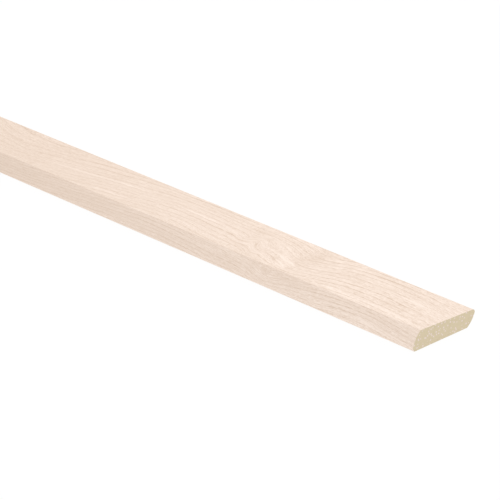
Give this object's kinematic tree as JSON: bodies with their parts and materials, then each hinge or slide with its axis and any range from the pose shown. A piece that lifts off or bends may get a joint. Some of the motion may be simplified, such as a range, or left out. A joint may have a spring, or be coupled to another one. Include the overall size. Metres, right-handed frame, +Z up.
{
  "type": "flat skirting board",
  "caption": "Flat wood-grain skirting strip with slanted, gently rounded long edges; glued along the foot of a wall to cover the joint with the floor.",
  "frame": {"origin": "under the middle of the strip, on the plane of its back, which lies on the floor", "axes": "+X along the length, +Y across the width towards the edge that stands on the floor when fixed, +Z up out of the visible face"},
  "size_m": [2.4, 0.022, 0.005],
  "materials": {
    "wrapped_fibreboard": "matte"
  },
  "bodies": {
    "root": {"skirting_board": "wrapped_fibreboard"}
  },
  "joints": []
}
